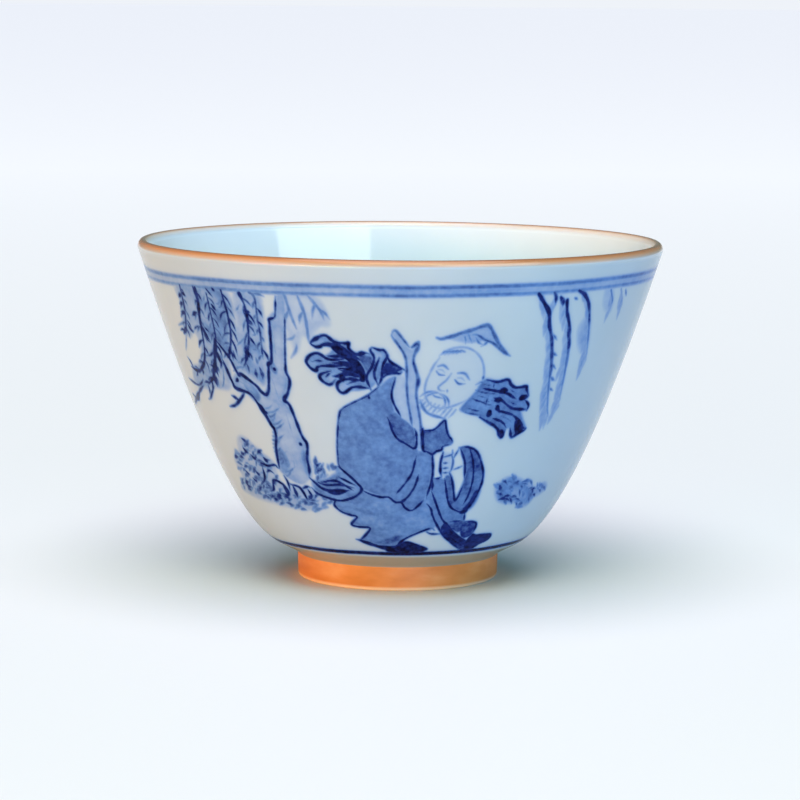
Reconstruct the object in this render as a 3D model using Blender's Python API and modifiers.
"""Footed porcelain teacup: a flared bowl on a turned foot ring.

The cup is one fired object built up in layers, and each layer of material is its own closed solid:
  porcelain_bowl  the thrown biscuit wall and floor, which carries everything else
  foot_ring       the turned ring that the cup stands on, washed with iron and left unglazed
  rim_band        the iron dressing that caps the lip
  outer_glaze     the glaze coat on the outside, from the lip band down to the neck of the foot
  inner_glaze     the glaze coat that lines the cup
  base_glaze      the glazed disc inside the foot ring
The origin is the middle of the foot's resting face. +Z is the axis that everything is turned about.
"""

import math

import bpy

MM = 0.001

# Driving dimensions, in millimetres.
HEIGHT = 55.0
RIM_RADIUS = 42.5
FOOT_RADIUS = 16.3
FOOT_INNER_RADIUS = 13.3
FOOT_HEIGHT = 4.9
LIP_THICKNESS = 1.7
GLAZE = 0.35
GAP = 0.1
SEGMENTS = 48

# Where each layer starts and stops.
WALL_TOP = HEIGHT - 1.2
BAND_EDGE_OUTSIDE = HEIGHT - 1.5
BAND_EDGE_INSIDE = HEIGHT - 1.3
GLAZE_EDGE_ON_FOOT = 3.9
RECESS_CEILING = 4.6
FOOT_EASING = 0.5
FOOT_EASING_MIDDLE = 0.15
FOOT_FLARE = 0.1
FULL_TURN_MERGE = 0.00001
BISECTIONS = 40

# The outside of the wall is one cubic curve from the lip to the underside, and the inside is another,
# from the lip to the edge of the floor. Both are given by their end points and handles, as radius and height.
OUTER_WALL = ((RIM_RADIUS, WALL_TOP), (33.9, 26.9), (26.4, 9.3), (20.0, 6.0))
INNER_WALL = ((RIM_RADIUS - LIP_THICKNESS, HEIGHT - 1.0), (31.3, 26.0), (25.0, 9.8), (16.0, 9.1))
# The concave neck between the underside and the foot, as a quadratic curve.
NECK = ((17.6, 4.78), (16.45, 4.2), (FOOT_RADIUS + FOOT_FLARE, GLAZE_EDGE_ON_FOOT))

WALL_STEPS = 11
NECK_STEPS = 3
LIP_STEPS = 6
FLOOR_STEPS = 2


def bezier(points, t):
    """The point at t on the curve that a list of control points gives, by repeated interpolation."""
    while len(points) > 1:
        points = [
            tuple(a + (b - a) * t for a, b in zip(first, second))
            for first, second in zip(points, points[1:])
        ]
    return points[0]


def sample(points, steps, start=0.0):
    """Points along a curve, from start to its end, both included."""
    return [bezier(points, start + (1.0 - start) * i / steps) for i in range(steps + 1)]


def offset(line, distance):
    """A polyline moved sideways: each point goes distance to the right of the way the line runs."""
    moved = []
    for i, (radius, height) in enumerate(line):
        before = line[max(i - 1, 0)]
        after = line[min(i + 1, len(line) - 1)]
        run = after[0] - before[0]
        rise = after[1] - before[1]
        length = math.hypot(run, rise)
        moved.append((radius + distance * rise / length, height - distance * run / length))
    return moved


def curve_start(points, height):
    """The value of t at which a curve that runs downwards passes a height."""
    low, high = 0.0, 1.0
    for _ in range(BISECTIONS):
        middle = (low + high) / 2
        if bezier(points, middle)[1] > height:
            low = middle
        else:
            high = middle
    return low


def outside(start_height):
    """The finished outside of the cup, from a height on the wall down to the neck's lower edge."""
    wall = sample(OUTER_WALL, WALL_STEPS, curve_start(OUTER_WALL, start_height))
    return wall + sample(NECK, NECK_STEPS)


def floor_rise(radius):
    """How far the inner floor has risen at a radius: a shallow dish that meets the inner wall's slope."""
    edge, handle = INNER_WALL[3], INNER_WALL[2]
    slope = (handle[1] - edge[1]) / (handle[0] - edge[0])
    return slope * radius * radius / (2 * edge[0])


def inside(start_height):
    """The finished inside of the cup, from a height on the wall down to the middle of the floor."""
    wall = sample(INNER_WALL, WALL_STEPS, curve_start(INNER_WALL, start_height))
    edge_radius, edge_height = INNER_WALL[3]
    centre_height = edge_height - floor_rise(edge_radius)
    floor = []
    for i in range(1, FLOOR_STEPS + 1):
        radius = edge_radius * (1 - i / FLOOR_STEPS)
        floor.append((radius, centre_height + floor_rise(radius)))
    return wall + floor


def lip(depth):
    """The rounded lip, from its inner edge over the crest to its outer edge, depth inside the surface.

    It is a half ellipse on the wall's thickness, tall enough to reach the cup's full height.
    """
    inner = (INNER_WALL[0][0] + depth, BAND_EDGE_INSIDE)
    outer = (OUTER_WALL[0][0] - depth, WALL_TOP)
    centre = (inner[0] + outer[0]) / 2
    half_width = (outer[0] - inner[0]) / 2
    crest = HEIGHT - depth
    points = []
    for i in range(1, LIP_STEPS):
        angle = math.pi * (1 - i / LIP_STEPS)
        points.append((centre + half_width * math.cos(angle), WALL_TOP + (crest - WALL_TOP) * math.sin(angle)))
    return points


def turned(name, profile, material, collection, closed):
    """A body turned about +Z from a profile that runs down its outer side."""
    mesh = bpy.data.meshes.new(name)
    points = [(radius * MM, 0.0, height * MM) for radius, height in profile]
    edges = [(i, i + 1) for i in range(len(points) - 1)]
    if closed:
        edges.append((len(points) - 1, 0))
    mesh.from_pydata(points, edges, [])
    body = bpy.data.objects.new(name, mesh)
    collection.objects.link(body)
    screw = body.modifiers.new("turn", "SCREW")
    screw.axis = "Z"
    screw.steps = SEGMENTS
    screw.render_steps = SEGMENTS
    screw.use_merge_vertices = True
    screw.merge_threshold = FULL_TURN_MERGE
    screw.use_smooth_shade = True
    mesh.materials.append(material)
    return body


def paint(name, colour, roughness):
    """A Principled material of one colour and roughness."""
    material = bpy.data.materials.new(name)
    material.use_nodes = True
    shader = material.node_tree.nodes["Principled BSDF"]
    shader.inputs["Base Color"].default_value = (*colour, 1.0)
    shader.inputs["Roughness"].default_value = roughness
    shader.inputs["Metallic"].default_value = 0.0
    return material


def porcelain_bowl(collection):
    """The biscuit wall and floor: the finished shape less a coat of glaze and a gap on every side."""
    depth = GLAZE + GAP
    inner = offset(inside(BAND_EDGE_INSIDE), -depth)
    inner[-1] = (0.0, inner[-1][1])
    outer = offset(outside(WALL_TOP)[: WALL_STEPS + 1], depth)
    bottom = FOOT_HEIGHT + GAP
    under = [(FOOT_RADIUS - depth, bottom), (0.0, bottom)]
    profile = inner[::-1] + lip(depth) + outer + under
    clay = paint("biscuit_porcelain", (0.86, 0.84, 0.80), 0.7)
    return turned("porcelain_bowl", profile, clay, collection, closed=False)


def foot_ring(collection):
    """The turned ring: a flat resting face with eased edges, and a step at the top for the glaze.

    The ring widens by FOOT_FLARE from its eased edge up to the glaze.
    """
    shoulder = FOOT_RADIUS - GLAZE - GAP
    step = GLAZE_EDGE_ON_FOOT - GAP
    profile = [
        (shoulder, FOOT_HEIGHT),
        (shoulder, step),
        (FOOT_RADIUS + FOOT_FLARE, step),
        (FOOT_RADIUS, FOOT_EASING),
        (FOOT_RADIUS - FOOT_EASING_MIDDLE, FOOT_EASING_MIDDLE),
        (FOOT_RADIUS - FOOT_EASING, 0.0),
        (FOOT_INNER_RADIUS + FOOT_EASING, 0.0),
        (FOOT_INNER_RADIUS + FOOT_EASING_MIDDLE, FOOT_EASING_MIDDLE),
        (FOOT_INNER_RADIUS, FOOT_EASING),
        (FOOT_INNER_RADIUS, FOOT_HEIGHT),
    ]
    clay = paint("iron_washed_clay", (0.62, 0.30, 0.12), 0.65)
    return turned("foot_ring", profile, clay, collection, closed=True)


def rim_band(collection):
    """The iron dressing over the lip: a cap of even thickness, open below."""
    outer = [p for p in outside(WALL_TOP)[:2] if p[1] > BAND_EDGE_OUTSIDE]
    outer_edge = bezier(OUTER_WALL, curve_start(OUTER_WALL, BAND_EDGE_OUTSIDE))
    inner_edge = bezier(INNER_WALL, curve_start(INNER_WALL, BAND_EDGE_INSIDE))
    face = [inner_edge] + lip(0.0) + outer + [outer_edge]
    back = [(inner_edge[0] + GLAZE, inner_edge[1])] + lip(GLAZE) + [(outer_edge[0] - GLAZE, outer_edge[1])]
    iron = paint("iron_dressing", (0.52, 0.24, 0.10), 0.35)
    return turned("rim_band", face + back[::-1], iron, collection, closed=True)


def outer_glaze(collection):
    """The coat outside, from just below the lip band to the neck of the foot."""
    face = outside(BAND_EDGE_OUTSIDE - GAP)
    back = offset(face, GLAZE)
    glass = paint("clear_glaze", (0.78, 0.82, 0.86), 0.12)
    return turned("outer_glaze", face + back[::-1], glass, collection, closed=True)


def inner_glaze(collection):
    """The coat that lines the cup, from just below the lip band to the middle of the floor."""
    face = inside(BAND_EDGE_INSIDE - GAP)
    back = offset(face, -GLAZE)
    back[-1] = (0.0, back[-1][1])
    glass = paint("inner_glaze_white", (0.80, 0.86, 0.88), 0.10)
    return turned("inner_glaze", face[::-1] + back, glass, collection, closed=False)


def base_glaze(collection):
    """The glazed disc inside the foot ring."""
    radius = FOOT_INNER_RADIUS - GAP
    top = FOOT_HEIGHT
    profile = [(0.0, top), (radius, top), (radius, RECESS_CEILING), (0.0, RECESS_CEILING)]
    glass = paint("base_glaze_white", (0.78, 0.82, 0.84), 0.15)
    return turned("base_glaze", profile, glass, collection, closed=False)


def main():
    """Clear the scene and make the cup, with its layers parented to one empty."""
    for old in list(bpy.data.objects):
        bpy.data.objects.remove(old, do_unlink=True)
    cup = bpy.data.collections.new("teacup")
    bpy.context.scene.collection.children.link(cup)
    root = bpy.data.objects.new("teacup_axis", None)
    cup.objects.link(root)
    for make in (porcelain_bowl, foot_ring, rim_band, outer_glaze, inner_glaze, base_glaze):
        make(cup).parent = root


main()
